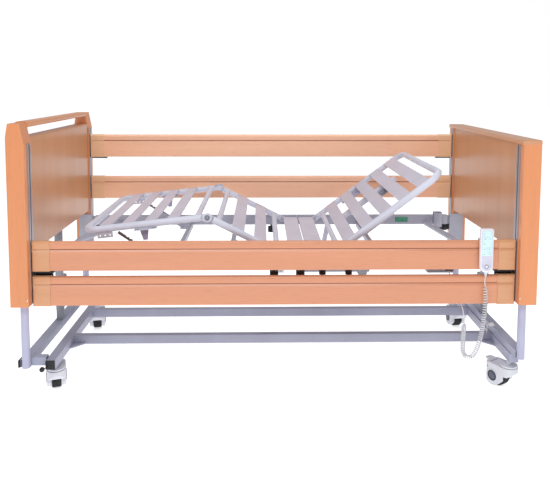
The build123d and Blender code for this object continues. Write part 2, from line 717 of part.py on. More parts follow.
# ---- linear actuators of the sections -----------------------------------------------------------
def actuator(rear_x, toward, y, z, length):
    """Housing with its motor; the rear eye is on the deck pin and the rod leaves the other end."""
    start, end = rear_x, rear_x + toward * length
    body = block(start + toward * 20, end, y - 22, y + 22, z - 26, z + 26)
    body = fillet(body.edges().filter_by(Axis.X), 8)
    body += block(start - toward * 12, start + toward * 24, y - 12, y + 12, z - 12, z + 12)
    body -= rod((start, y - 30, z), (start, y + 30, z), 5 + FIT)
    body -= rod((start + toward * 40, y, z), (end + toward, y, z), 11.5)
    motor_x = start + toward * 66
    motor = rod((motor_x, y - 22, z), (motor_x, y - 92, z), 24)
    return [body, motor]


def actuator_rod(inner_x, pin_x, toward, y, z):
    """Piston rod whose fork end has an upright slot round the lever pin."""
    shaft = rod((inner_x, y, z), (pin_x - toward * 14, y, z), 11)
    fork = block(pin_x - toward * 16, pin_x + toward * 16, y - 11, y + 11, z - 32, z + 32)
    slot = block(pin_x - 8, pin_x + 8, y - 12, y + 12, z - 25, z + 25)
    return shaft + (fork - slot)


back_rest_pin_x = BACK_HINGE_X + BACK_LEVER * sin(radians(BACK_ANGLE - 35))
leg_rest_pin_x = THIGH_HINGE_X - LEG_LEVER * sin(radians(THIGH_ANGLE - 17.5))
save("back_actuator", actuator(BACK_REAR_X, 1, BACK_ACTUATOR_Y, ACTUATOR_Z, 310))
save(
    "back_actuator_rod",
    actuator_rod(-50, back_rest_pin_x, 1, BACK_ACTUATOR_Y, ACTUATOR_Z),
)
save("leg_actuator", actuator(LEG_REAR_X, -1, LEG_ACTUATOR_Y, ACTUATOR_Z + 12, 345))
save(
    "leg_actuator_rod",
    actuator_rod(320, leg_rest_pin_x, -1, LEG_ACTUATOR_Y, ACTUATOR_Z + 12),
)


# ---- side rails ---------------------------------------------------------------------------------
def rail_profile(length, grow=0.0):
    """Rounded bead over a flat board with a groove between them on both faces, centred on X."""
    face, back = -RAIL_Y1 - grow, -RAIL_Y0 + grow
    top, bottom = RAIL_HEIGHT + grow, -grow
    bar = block(-length / 2, length / 2, face, back, bottom, top)
    along = bar.edges().filter_by(Axis.X)
    bar = fillet(along.group_by(Axis.Z)[-1], 12)
    bar = fillet(bar.edges().filter_by(Axis.X).group_by(Axis.Z)[0], 4)
    groove_z = RAIL_HEIGHT - BEAD
    for y, inward in ((face, 1), (back, -1)):
        bed = y + inward * GROOVE
        cutter = Polyline(
            (y - inward, groove_z), (bed, groove_z - 0.5), (bed, groove_z - 3.5),
            (y - inward, groove_z - 15), close=True,
        )
        bar -= extrude(Plane.YZ * make_face(cutter), length / 2 + 1, both=True)
    return bar


def rail(z, side):
    length = 2 * (RAIL_END - RAIL_CAP)
    wall = GROOVE + 2.0
    bar = rail_profile(length)
    bar -= block(-length, length, -RAIL_Y1 + wall, -RAIL_Y0 - wall, 8, RAIL_HEIGHT - 14)
    bar = Pos(0, 0, z) * bar
    return mirror_y(bar) if side > 0 else bar


def rail_caps(z, side):
    """End caps that stand a little proud of the rail, their outer corners rounded."""
    grow = 2.0
    half = RAIL_CAP / 2
    plan = block(-half, half, -RAIL_Y1 - grow, -RAIL_Y0 + grow, -grow, RAIL_HEIGHT + grow)
    plan = fillet(plan.edges().filter_by(Axis.Z).group_by(Axis.X)[-1], 8)
    cap = Pos(RAIL_END - half, 0, z) * (rail_profile(RAIL_CAP, grow) & plan)
    pair = [cap, mirror(cap, about=Plane.YZ)]
    return [mirror_y(part) for part in pair] if side > 0 else pair


RAILS = {
    "near_top": (NEAR_TOP_Z, -1),
    "near_bottom": (NEAR_BOTTOM_Z, -1),
    "far_top": (FAR_TOP_Z, 1),
    "far_bottom": (FAR_BOTTOM_Z, 1),
}
for name, (z, side) in RAILS.items():
    save(f"{name}_rail", rail(z, side))
    save(f"{name}_rail_caps", rail_caps(z, side))


def catch(end, side, z):
    """Thumb slide under a top rail that frees it from the board."""
    x0, x1 = end * 925, end * 1010
    body = block(x0, x1, side * 458, side * 476, z - 8, z - 3)
    body = fillet(body.edges().filter_by(Axis.Z), 4)
    neck = block(end * 945, end * 990, side * 463, side * 471, z - 4, z - 2.3)
    return body + neck


for side_name, side, z in (("near", -1, NEAR_TOP_Z), ("far", 1, FAR_TOP_Z)):
    for end_name, end in (("foot", -1), ("head", 1)):
        save(f"{side_name}_{end_name}_catch", catch(end, side, z))


# ---- hand control and its cord --------------------------------------------------------------------
HANDSET_X = 883.5
HANDSET_HALF = 28.5
HANDSET_Z0, HANDSET_Z1 = 565.0, 752.0
HANDSET_BACK = -484.0
HANDSET_FRONT = -506.0
HOOK_Z = NEAR_TOP_Z + RAIL_HEIGHT + 1.5


def handset_outline(inset, y0, y1):
    """Slab with a fully rounded lower end and small upper corners, inset from the edge."""
    half = HANDSET_HALF - inset
    slab = block(
        HANDSET_X - half, HANDSET_X + half, y0, y1, HANDSET_Z0 + inset, HANDSET_Z1 - inset
    )
    upright = slab.edges().filter_by(Axis.Y)
    slab = fillet(upright.group_by(Axis.Z)[0], half - 1)
    return fillet(slab.edges().filter_by(Axis.Y).group_by(Axis.Z)[-1], 5)


handset = handset_outline(0, HANDSET_FRONT, HANDSET_BACK)
handset = fillet(handset.faces().sort_by(Axis.Y)[0].edges(), 3)
arm = block(HANDSET_X - 20, HANDSET_X + 20, HANDSET_BACK, -447, HOOK_Z, HOOK_Z + 4.5)
tip = block(HANDSET_X - 20, HANDSET_X + 20, -450, -446, HOOK_Z - 14, HOOK_Z + 4.5)
save("handset_shell", handset, arm, tip - arm)
save("handset_keypad", handset_outline(4.5, HANDSET_FRONT - 1.2, HANDSET_FRONT))

TOP_LEAD = [(883.5, -495, 565), (883.5, -495, 547), (879, -496.4, 527), (883, -497, 508)]
CURL = [
    (883, -497, 508), (886, -498, 455), (883, -499, 402), (878, -499, 350), (873, -498, 310),
    (867, -497, 278), (858, -496, 243), (846, -494, 213), (834.5, -493, 196.5),
    (815.5, -491, 194.5), (802, -489, 205.5), (797.5, -487, 225), (798, -484, 255),
    (801, -480, 294), (805.5, -475, 334),
]
BOX_LEAD = [
    (805.5, -475, 334), (808, -462, 374), (802, -437, 408), (791, -408, 444), (779, -376, 490),
    (772, -346, 527), (772, -306, 527),
]


def cord_radii(points):
    """Bend at each inner point: 0.45 of the shorter run, over the tangent of half the turn."""
    radii = []
    for before, here, after in zip(points, points[1:], points[2:]):
        first, second = Vector(here) - Vector(before), Vector(after) - Vector(here)
        half_turn = radians(first.get_angle(second)) / 2
        radii.append(0.45 * min(first.length, second.length) / tan(half_turn))
    return radii


def cord(name, points, diameter):
    radii = cord_radii(points)
    path = FilletPolyline(*points, radius=radii)
    print(name, "length", round(path.length, 1), "radii", [round(r, 1) for r in radii])
    return swept(path, diameter / 2)


save("handset_cord_leads", cord("top lead", TOP_LEAD, LEAD), cord("box lead", BOX_LEAD, LEAD))
save("handset_cord_curl", cord("curl", CURL, COIL))
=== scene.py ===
from math import cos, pi, radians, sin
import json

import bmesh
import bpy
from mathutils import Matrix, Vector


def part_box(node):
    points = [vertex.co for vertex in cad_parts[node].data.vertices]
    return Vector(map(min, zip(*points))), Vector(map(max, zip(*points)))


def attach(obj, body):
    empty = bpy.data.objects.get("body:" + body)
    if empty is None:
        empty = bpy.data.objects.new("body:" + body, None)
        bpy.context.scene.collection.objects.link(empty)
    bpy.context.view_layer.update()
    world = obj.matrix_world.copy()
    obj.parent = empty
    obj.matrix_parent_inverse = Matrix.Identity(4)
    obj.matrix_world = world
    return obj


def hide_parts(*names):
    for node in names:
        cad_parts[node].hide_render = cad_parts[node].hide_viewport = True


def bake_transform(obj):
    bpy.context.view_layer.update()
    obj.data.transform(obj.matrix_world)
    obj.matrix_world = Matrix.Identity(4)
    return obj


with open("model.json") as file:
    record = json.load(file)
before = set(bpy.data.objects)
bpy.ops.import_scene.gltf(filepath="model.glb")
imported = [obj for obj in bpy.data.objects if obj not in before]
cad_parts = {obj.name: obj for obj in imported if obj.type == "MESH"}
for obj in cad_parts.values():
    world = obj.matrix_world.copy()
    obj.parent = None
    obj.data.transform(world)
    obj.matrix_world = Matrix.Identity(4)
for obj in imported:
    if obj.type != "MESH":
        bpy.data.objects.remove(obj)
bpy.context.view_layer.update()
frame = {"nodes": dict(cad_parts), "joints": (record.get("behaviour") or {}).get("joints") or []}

NODES = frame["nodes"]
JOINTS = {joint["name"]: joint for joint in frame["joints"]}
CORNERS = ("near_foot", "far_foot", "near_head", "far_head")

# ---- camera -------------------------------------------------------------------------------------
CAMERA_PLACE = (-0.0568, -3.0719, 1.3572)       # m
CAMERA_TURN = (1.48852, -0.0021, -0.0204)       # rad
LENS = 41.28             # mm
SENSOR_WIDTH = 36.0      # mm
SHIFT_DOWN = -0.1928

camera_data = bpy.data.cameras.new("camera")
camera_data.lens = LENS
camera_data.sensor_width = SENSOR_WIDTH
camera_data.shift_y = SHIFT_DOWN
camera = bpy.data.objects.new("camera", camera_data)
camera.location = CAMERA_PLACE
camera.rotation_euler = CAMERA_TURN
bpy.context.scene.collection.objects.link(camera)
bpy.context.scene.camera = camera
bpy.context.scene.view_settings.view_transform = "Standard"


# ---- mesh helpers -------------------------------------------------------------------------------
ON_AXIS = 1e-6           # a lathe point nearer its axis than this is one vertex
SPLINE_ORDER = 3


def finish_mesh(name, mesh_data, material, body, smooth=35.0):
    """Make an object of a bmesh or mesh, shade it and let it ride on a body."""
    if isinstance(mesh_data, bmesh.types.BMesh):
        mesh = bpy.data.meshes.new(name)
        bmesh.ops.recalc_face_normals(mesh_data, faces=mesh_data.faces)
        mesh_data.to_mesh(mesh)
        mesh_data.free()
    else:
        mesh = mesh_data
    piece = bpy.data.objects.new(name, mesh)
    bpy.context.scene.collection.objects.link(piece)
    for polygon in mesh.polygons:
        polygon.use_smooth = True
    mesh.set_sharp_from_angle(angle=radians(smooth))
    mesh.materials.append(material)
    if body:
        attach(piece, body)
    return piece


def add_box(bm, low, high, bevel=0.0, segments=2, matrix=None):
    """Add a box between two corners, its edges rounded by bevel."""
    low, high = Vector(low), Vector(high)
    made = bmesh.ops.create_cube(bm, size=1.0)["verts"]
    size = high - low
    middle = (high + low) / 2
    for vert in made:
        vert.co = Vector(c * s for c, s in zip(vert.co, size)) + middle
    if bevel:
        edges = list(dict.fromkeys(edge for vert in made for edge in vert.link_edges))
        result = bmesh.ops.bevel(
            bm, geom=edges, offset=bevel, segments=segments, affect="EDGES", profile=0.5
        )
        left = [vert for vert in made if vert.is_valid]
        rounded = [vert for face in result["faces"] for vert in face.verts]
        made = list(dict.fromkeys(left + rounded))
    if matrix is not None:
        bmesh.ops.transform(bm, matrix=matrix, verts=made)
    return made


def basis(origin, direction):
    """A frame at origin with its Z along direction."""
    turn = Vector((0, 0, 1)).rotation_difference(Vector(direction).normalized())
    return Matrix.Translation(origin) @ turn.to_matrix().to_4x4()


def sided(side, inner, outer):
    """The low and high end of a span given from the middle outwards, on side -1 or 1."""
    return sorted((side * inner, side * outer))


def add_lathe(bm, profile, matrix, steps=40):
    """Spin a profile of (radius, height) points round Z, then place it by matrix."""
    rings = []
    for radius, height in profile:
        if radius < ON_AXIS:
            rings.append([bm.verts.new((0, 0, height))])
            continue
        ring = []
        for step in range(steps):
            turn = 2 * pi * step / steps
            ring.append(bm.verts.new((radius * cos(turn), radius * sin(turn), height)))
        rings.append(ring)
    for low, high in zip(rings, rings[1:]):
        for step in range(steps):
            after = (step + 1) % steps
            corners = [
                low[step % len(low)], low[after % len(low)],
                high[after % len(high)], high[step % len(high)],
            ]
            corners = list(dict.fromkeys(corners))
            if len(corners) > 2:
                bm.faces.new(corners)
    made = [vert for ring in rings for vert in ring]
    bmesh.ops.transform(bm, matrix=matrix, verts=made)
    return made


def nurbs_points(points, resolution=24):
    """The smooth line of a route: points read from its NURBS spline."""
    curve = bpy.data.curves.new("route", "CURVE")
    curve.dimensions = "3D"
    spline = curve.splines.new("NURBS")
    spline.points.add(len(points) - 1)
    for control, point in zip(spline.points, points):
        control.co = (*point, 1.0)
    spline.order_u = SPLINE_ORDER
    spline.use_endpoint_u = True
    curve.resolution_u = resolution
    holder = bpy.data.objects.new("route", curve)
    mesh = bpy.data.meshes.new_from_object(holder)
    line = [vert.co.copy() for vert in mesh.vertices]
    bpy.data.objects.remove(holder)
    bpy.data.curves.remove(curve)
    bpy.data.meshes.remove(mesh)
    return line


def add_tube(bm, line, radius, sides=10):
    """Add a round tube along a line of points, closed at both ends."""
    rings = []
    side = None
    for index, point in enumerate(line):
        ahead = line[min(index + 1, len(line) - 1)] - line[max(index - 1, 0)]
        ahead.normalize()
        if side is None:
            side = ahead.orthogonal().normalized()
        side = (side - ahead * side.dot(ahead)).normalized()
        across = ahead.cross(side)
        ring = []
        for step in range(sides):
            turn = 2 * pi * step / sides
            ring.append(bm.verts.new(point + (side * cos(turn) + across * sin(turn)) * radius))
        rings.append(ring)
    for low, high in zip(rings, rings[1:]):
        for step in range(sides):
            after = (step + 1) % sides
            bm.faces.new((low[step], low[after], high[after], high[step]))
    bm.faces.new(rings[0])
    bm.faces.new(rings[-1])


# ---- materials ----------------------------------------------------------------------------------
def linear(hex_colour):
    """A colour from its hexadecimal form, as linear light."""
    channels = [int(hex_colour[i:i + 2], 16) / 255 for i in (0, 2, 4)]
    values = [c / 12.92 if c <= 0.04045 else ((c + 0.055) / 1.055) ** 2.4 for c in channels]
    return (*values, 1.0)


class Finish:
    """A node material under construction, with a few short ways to add nodes."""

    def __init__(self, name, roughness=0.5, specular=0.5, metallic=0.0, coat=0.0):
        self.material = bpy.data.materials.new(name)
        self.material.use_nodes = True
        self.tree = self.material.node_tree
        self.shader = self.tree.nodes["Principled BSDF"]
        self.shader.inputs["Roughness"].default_value = roughness
        self.shader.inputs["Specular IOR Level"].default_value = specular
        self.shader.inputs["Metallic"].default_value = metallic
        self.shader.inputs["Coat Weight"].default_value = coat
        self.place = self.tree.nodes.new("ShaderNodeTexCoord").outputs["Object"]

    def node(self, kind, **values):
        """Add a node and set its inputs by name."""
        made = self.tree.nodes.new(kind)
        for key, value in values.items():
            made.inputs[key.replace("_", " ")].default_value = value
        return made

    def link(self, output, target):
        """Join a node's output to an input."""
        self.tree.links.new(output, target)

    def stretched(self, scale):
        """Object coordinates scaled apart for each axis."""
        mapping = self.node("ShaderNodeMapping", Scale=scale)
        self.link(self.place, mapping.inputs["Vector"])
        return mapping.outputs["Vector"]

    def noise(self, scale, detail=4.0, roughness=0.55, place=None, distortion=0.0):
        """Noise from 0 to 1 over the object's coordinates or over place."""
        made = self.node(
            "ShaderNodeTexNoise", Scale=scale, Detail=detail, Roughness=roughness,
            Distortion=distortion,
        )
        self.link(place or self.place, made.inputs["Vector"])
        return made.outputs["Fac"]

    def ramp(self, source, stops):
        """Turn a 0 to 1 value into a colour between (position, colour) stops."""
        made = self.tree.nodes.new("ShaderNodeValToRGB")
        elements = made.color_ramp.elements
        while len(elements) < len(stops):
            elements.new(0.5)
        for element, (place, colour) in zip(elements, stops):
            element.position = place
            element.color = colour
        self.link(source, made.inputs["Fac"])
        return made.outputs["Color"]

    def mix(self, factor, first, second, mode="MIX"):
        """Blend two colours, each one a colour or a node's output."""
        made = self.tree.nodes.new("ShaderNodeMix")
        made.data_type = "RGBA"
        made.blend_type = mode
        for socket, value in ((made.inputs[0], factor), (made.inputs[6], first), (made.inputs[7], second)):
            if isinstance(value, bpy.types.NodeSocket):
                self.link(value, socket)
            else:
                socket.default_value = value
        return made.outputs[2]

    def span(self, source, low, high):
        """Map a 0 to 1 value onto low to high."""
        made = self.node("ShaderNodeMapRange")
        made.inputs["To Min"].default_value = low
        made.inputs["To Max"].default_value = high
        self.link(source, made.inputs["Value"])
        return made.outputs["Result"]

    def bump(self, source, strength, distance):
        """Raise and lower the surface's shading by a 0 to 1 value."""
        made = self.node("ShaderNodeBump", Strength=strength, Distance=distance)
        self.link(source, made.inputs["Height"])
        self.link(made.outputs["Normal"], self.shader.inputs["Normal"])


def shade(colour, factor):
    """A lighter or darker version of a colour."""
    return tuple([min(1.0, c * factor) for c in colour[:3]] + [1.0])


def beech(name, hex_colour, grain, contrast=0.07, roughness=0.34):
    """Beech decor: short darker flecks and long soft bands along the grain axis (0, 1 or 2)."""
    finish = Finish(name, roughness=roughness, specular=0.5, coat=0.35)
    finish.shader.inputs["Coat Roughness"].default_value = 0.22
    colour = linear(hex_colour)
    bands = finish.stretched([9.0 if axis != grain else 0.55 for axis in range(3)])
    flecks = finish.stretched([260.0 if axis != grain else 16.0 for axis in range(3)])
    fibres = finish.stretched([700.0 if axis != grain else 9.0 for axis in range(3)])
    band = finish.noise(1.0, detail=3.0, place=bands, distortion=0.6)
    fleck = finish.noise(1.0, detail=2.0, roughness=0.4, place=flecks)
    fibre = finish.noise(1.0, detail=2.0, place=fibres)
    base = finish.ramp(band, [
        (0.30, shade(colour, 1.0 - contrast)), (0.52, colour), (0.72, shade(colour, 1.0 + contrast)),
    ])
    fleck_tone = finish.ramp(fleck, [(0.28, (0.93, 0.90, 0.88, 1)), (0.42, (1, 1, 1, 1))])
    fibre_tone = finish.ramp(fibre, [(0.25, (0.95, 0.94, 0.93, 1)), (0.65, (1.02, 1.02, 1.02, 1))])
    toned = finish.mix(1.0, base, fleck_tone, "MULTIPLY")
    finish.link(finish.mix(1.0, toned, fibre_tone, "MULTIPLY"), finish.shader.inputs["Base Color"])
    finish.link(finish.span(fibre, roughness - 0.05, roughness + 0.10), finish.shader.inputs["Roughness"])
    finish.bump(fleck, 0.12, 0.0004)
    return finish.material


def powder_coat(name, hex_colour, roughness=0.38, metallic=0.0, spread=0.05):
    """Powder-coated steel: fine orange peel, slight cloudiness and soft rubbed patches."""
    finish = Finish(name, roughness=roughness, specular=0.5, metallic=metallic)
    colour = linear(hex_colour)
    cloud = finish.noise(6.0, detail=3.0)
    peel = finish.noise(900.0, detail=2.0)
    rub = finish.noise(38.0, detail=5.0, roughness=0.7)
    base = finish.ramp(cloud, [(0.35, shade(colour, 1 - spread)), (0.65, shade(colour, 1 + spread))])
    wear = finish.ramp(rub, [(0.66, (1, 1, 1, 1)), (0.78, (0.90, 0.90, 0.91, 1))])
    finish.link(finish.mix(1.0, base, wear, "MULTIPLY"), finish.shader.inputs["Base Color"])
    finish.link(finish.span(rub, roughness - 0.08, roughness + 0.12), finish.shader.inputs["Roughness"])
    finish.bump(peel, 0.10, 0.0003)
    return finish.material


def moulded(name, hex_colour, roughness=0.45, grain=1400.0, depth=0.12, spread=0.03):
    """Moulded plastic with a fine spark-eroded grain."""
    finish = Finish(name, roughness=roughness, specular=0.45)
    colour = linear(hex_colour)
    cloud = finish.noise(22.0, detail=3.0)
    skin = finish.noise(grain, detail=1.0)
    base = finish.ramp(cloud, [(0.35, shade(colour, 1 - spread)), (0.65, shade(colour, 1 + spread))])
    finish.link(base, finish.shader.inputs["Base Color"])
    finish.link(finish.span(skin, roughness - 0.06, roughness + 0.08), finish.shader.inputs["Roughness"])
    finish.bump(skin, depth, 0.0002)
    return finish.material


def tyre_rubber(name):
    """Grey-black solid rubber with dust in its surface."""
    finish = Finish(name, roughness=0.75, specular=0.3)
    dust = finish.noise(70.0, detail=6.0, roughness=0.7)
    base = finish.ramp(dust, [(0.45, (0.012, 0.012, 0.014, 1)), (0.80, (0.055, 0.053, 0.052, 1))])
    finish.link(base, finish.shader.inputs["Base Color"])
    finish.link(finish.span(dust, 0.62, 0.88), finish.shader.inputs["Roughness"])
    finish.bump(finish.noise(500.0, detail=3.0), 0.25, 0.0004)
    return finish.material


def brushed(name, hex_colour, along, roughness=0.28):
    """Drawn or brushed metal with hairlines along an axis."""
    finish = Finish(name, roughness=roughness, metallic=1.0)
    colour = linear(hex_colour)
    hair = finish.noise(1.0, detail=3.0, place=finish.stretched(
        [1600.0 if axis != along else 6.0 for axis in range(3)]
    ))
    base = finish.ramp(hair, [(0.3, shade(colour, 0.88)), (0.7, shade(colour, 1.06))])
    finish.link(base, finish.shader.inputs["Base Color"])
    finish.link(finish.span(hair, roughness - 0.08, roughness + 0.14), finish.shader.inputs["Roughness"])
    finish.bump(hair, 0.08, 0.0002)
    return finish.material


def film(name, hex_colour, edge_hex):
    """Printed membrane film: satin, its tone varying in soft clouds between an edge colour and its main
    colour.
    """
    finish = Finish(name, roughness=0.32, specular=0.5)
    cloud = finish.noise(30.0, detail=2.0)
    base = finish.ramp(cloud, [(0.35, linear(edge_hex)), (0.6, linear(hex_colour))])
    finish.link(base, finish.shader.inputs["Base Color"])
    finish.bump(finish.noise(1500.0, detail=1.0), 0.05, 0.0001)
    return finish.material


POST_WOOD = beech("post_beech", "DA8C5A", 2)
HANDLE_WOOD = beech("handle_beech", "D48D5B", 1)
PANEL_WOOD = beech("panel_beech", "C2875D", 2, contrast=0.07)
CAP_WOOD = beech("cap_beech", "CB926C", 1, contrast=0.06)
RAIL_WOOD = beech("rail_beech", "D28F6C", 0, contrast=0.06)
RAIL_CAP_WOOD = beech("rail_cap_beech", "CE976D", 0, contrast=0.05)
# Paler copies of the rail beech for the far rails and their caps: painted light, making up for light their
# inner faces lack
FAR_RAIL_PAINTED_LIGHT_WOOD = beech("far_rail_beech_painted_light", "F3BD9C", 0, contrast=0.06)
FAR_RAIL_CAP_PAINTED_LIGHT_WOOD = beech("far_rail_cap_beech_painted_light", "EBBF98", 0, contrast=0.05)
BASE_STEEL = powder_coat("base_coat", "9EA1B5")
FRAME_STEEL = powder_coat("frame_coat", "A2A4B2")
COLUMN_STEEL = powder_coat("column_coat", "B0B1CA", roughness=0.3)
SECTION_STEEL = powder_coat("section_coat", "C9CAD8", roughness=0.34)
SLAT_STEEL = powder_coat("slat_coat", "C3BECB", roughness=0.42)
ROD_STEEL = brushed("rod_steel", "C4C5C9", 0)
BOLT_STEEL = brushed("bolt_steel", "8E9098", 1, roughness=0.35)
CHANNEL_METAL = brushed("channel_aluminium", "B4B5BC", 2, roughness=0.4)
BLACK_PLASTIC = moulded("black_plastic", "1A1A1E", roughness=0.5)
DARK_GREY = moulded("dark_grey_plastic", "3A3C42", roughness=0.5)
MOTOR_GREY = moulded("motor_grey_plastic", "8C8F98", roughness=0.5)
CASTOR_WHITE = moulded("castor_white_plastic", "D2D4DC", roughness=0.38)
HUB_GREY = moulded("hub_grey_plastic", "565A70", roughness=0.35)
RUBBER = tyre_rubber("castor_rubber")
HANDSET_WHITE = moulded("handset_white_plastic", "E2E2E8", roughness=0.4)
KEYPAD_FILM = film("keypad_film", "CDEBEE", "C2DDE6")
KEY_TINT = film("key_tint", "7FAFB8", "74A2AE")
CORD_SKIN = moulded("cord_skin", "D5D6DA", roughness=0.42, grain=600.0)
LABEL_FILM = film("blank_label_film", "3F8F72", "2F7A60")
# dark brown of the groove strips: painted shade inside the rail grooves
GROOVE_SHADE_BROWN = moulded("groove_painted_shade", "7A4530", roughness=0.6)
LOWER_FILM = film("lower_film", "CFCFE0", "C6C6D8")
BRACKET_STEEL = powder_coat("bracket_coat", "A9A6C4", roughness=0.35)
SCREW_STEEL = brushed("screw_zinc", "E6D9D2", 0, roughness=0.35)
KEY_BLISTER = film("key_blister", "DDF3F5", "CFE8EE")
LOCK_RIM = moulded("lock_rim_plastic", "4C5166", roughness=0.4)
NECK_GREY = moulded("neck_plastic", "C9D3DE", roughness=0.45)
CLIP_WHITE = moulded("clip_white_plastic", "EEEEF0", roughness=0.4)

NODE_FINISH = {
    POST_WOOD: ("foot_posts", "head_posts"),
    HANDLE_WOOD: ("foot_handle_bar",),
    PANEL_WOOD: ("foot_panels", "head_panels"),
    CAP_WOOD: ("head_cap_rail",),
    RAIL_WOOD: ("near_top_rail", "near_bottom_rail"),
    RAIL_CAP_WOOD: ("near_top_rail_caps", "near_bottom_rail_caps"),
    FAR_RAIL_PAINTED_LIGHT_WOOD: ("far_top_rail", "far_bottom_rail"),
    FAR_RAIL_CAP_PAINTED_LIGHT_WOOD: ("far_top_rail_caps", "far_bottom_rail_caps"),
    BASE_STEEL: ("base_frame", "lift_frames"),
    FRAME_STEEL: ("deck_frame_foot", "deck_frame_head", "pole_sockets", "ratchet_channels"),
    COLUMN_STEEL: ("guide_columns",),
    SECTION_STEEL: ("backrest_frame", "thigh_frame", "calf_frame", "knee_plates"),
    SLAT_STEEL: ("backrest_slats", "thigh_slats", "calf_slats", "seat_slats"),
    ROD_STEEL: ("lift_rods", "back_actuator_rod", "leg_actuator_rod"),
    BOLT_STEEL: ("ratchet_hubs", "ratchet_slides"),
    BLACK_PLASTIC: (
        "tube_end_caps", "deck_knobs", "near_foot_catch", "near_head_catch", "far_foot_catch",
        "far_head_catch",
    ),
    MOTOR_GREY: ("lift_actuators", "back_actuator", "leg_actuator", "control_box"),
    CASTOR_WHITE: tuple(f"castor_{c}_{part}" for c in CORNERS for part in ("housing", "pedal")),
    RUBBER: tuple(f"castor_{c}_wheel" for c in CORNERS),
    HANDSET_WHITE: ("handset_shell",),
    KEYPAD_FILM: ("handset_keypad",),
    CORD_SKIN: ("handset_cord_leads", "handset_cord_curl"),
}
for material, names in NODE_FINISH.items():
    for name in names:
        mesh = NODES[name].data
        mesh.materials.clear()
        mesh.materials.append(material)

# ---- hand control cord --------------------------------------------------------------------------
TOP_LEAD = [
    (0.8835, -0.495, 0.565), (0.8835, -0.495, 0.547), (0.879, -0.4964, 0.527),
    (0.883, -0.497, 0.508),
]
CURL = [
    (0.883, -0.497, 0.508), (0.886, -0.498, 0.455), (0.883, -0.499, 0.402), (0.878, -0.499, 0.35),
    (0.873, -0.498, 0.31), (0.867, -0.497, 0.278), (0.858, -0.496, 0.243), (0.846, -0.494, 0.213),
    (0.8345, -0.493, 0.1965), (0.8155, -0.491, 0.1945), (0.802, -0.489, 0.2055),
    (0.7975, -0.487, 0.225), (0.798, -0.484, 0.255), (0.801, -0.48, 0.294), (0.8055, -0.475, 0.334),
]
BOX_LEAD = [
    (0.8055, -0.475, 0.334), (0.808, -0.462, 0.374), (0.802, -0.437, 0.408), (0.791, -0.408, 0.444),
    (0.779, -0.376, 0.49), (0.772, -0.346, 0.527), (0.772, -0.306, 0.527),
]
WIRE_WIDTH = 0.0042          # the coil's wire
CURL_WIDTH = 0.020           # outside the coil
LOOSE_PITCH = 0.0118         # at the hand control's end of the coil
TIGHT_PITCH = 0.0046         # at the other end
LEAD_STEPS = 8
WIRE_SIDES = 8


def line_length(line):
    """Length of a line of points."""
    return sum((b - a).length for a, b in zip(line, line[1:]))


def helix(centre, radius, loose, tight, steps=14):
    """A coil's wire round a centre line, its pitch closing from loose to tight along the way.

    The first and the last turn grow from the line and shrink back to it.
    """
    total = line_length(centre)
    turns = round(2 * total / (loose + tight))
    count = turns * steps
    wire = []
    side = None
    index = 0
    walked = 0.0
    for step in range(count + 1):
        share = step / count
        target = total * min(1.0, share * (loose + (tight - loose) * share / 2) * 2 / (loose + tight))
        while index < len(centre) - 2 and walked + (centre[index + 1] - centre[index]).length < target:
            walked += (centre[index + 1] - centre[index]).length
            index += 1
        run = centre[index + 1] - centre[index]
        here = centre[index] + run * min(1.0, (target - walked) / run.length)
        ahead = run.normalized()
        if side is None:
            side = ahead.orthogonal().normalized()
        side = (side - ahead * side.dot(ahead)).normalized()
        across = ahead.cross(side)
        grow = min(1.0, step / steps, (count - step) / steps)
        turn = 2 * pi * step / steps
        wire.append(here + (side * cos(turn) + across * sin(turn)) * radius * grow)
    return wire


curl_line = nurbs_points(CURL)
wire = helix(curl_line, CURL_WIDTH / 2 - WIRE_WIDTH / 2, LOOSE_PITCH, TIGHT_PITCH)
top_line = nurbs_points(TOP_LEAD, LEAD_STEPS)
box_line = nurbs_points(BOX_LEAD, LEAD_STEPS)
cord_line = top_line + wire[1:-1] + box_line
cord_mesh = bmesh.new()
add_tube(cord_mesh, cord_line, WIRE_WIDTH / 2, sides=WIRE_SIDES)
hand_cord = finish_mesh("hand_control_cord", cord_mesh, CORD_SKIN, None, smooth=180)
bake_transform(hand_cord)
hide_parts("handset_cord_leads", "handset_cord_curl")

# ---- pieces on the end boards --------------------------------------------------------------------
def prism(bm, outline, low, high, place):
    """Add a solid whose outline is in the first two axes and runs from low to high in the third."""
    bottom = [bm.verts.new(place(a, b, low)) for a, b in outline]
    top = [bm.verts.new(place(a, b, high)) for a, b in outline]
    bm.faces.new(bottom)
    bm.faces.new(top)
    count = len(outline)
    for index in range(count):
        after = (index + 1) % count
        bm.faces.new((bottom[index], bottom[after], top[after], top[index]))


GROOVE_Z = 0.0305             # from the top of a rail to the groove's upper edge
GROOVE_DEPTH = 0.0055
POST_SCREW_Z = 0.458
BOARD_FACE = -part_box("foot_posts")[1][0]
POST_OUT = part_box("foot_posts")[1][1]
CHANNEL_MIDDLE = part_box("far_top_rail")[0][1] + 0.0125
CHANNEL_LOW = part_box("foot_posts")[0][2] + 0.010
CHANNEL_TOPS = {-1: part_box("foot_posts")[1][2] - 0.085, 1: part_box("head_cap_rail")[0][2] - 0.006}


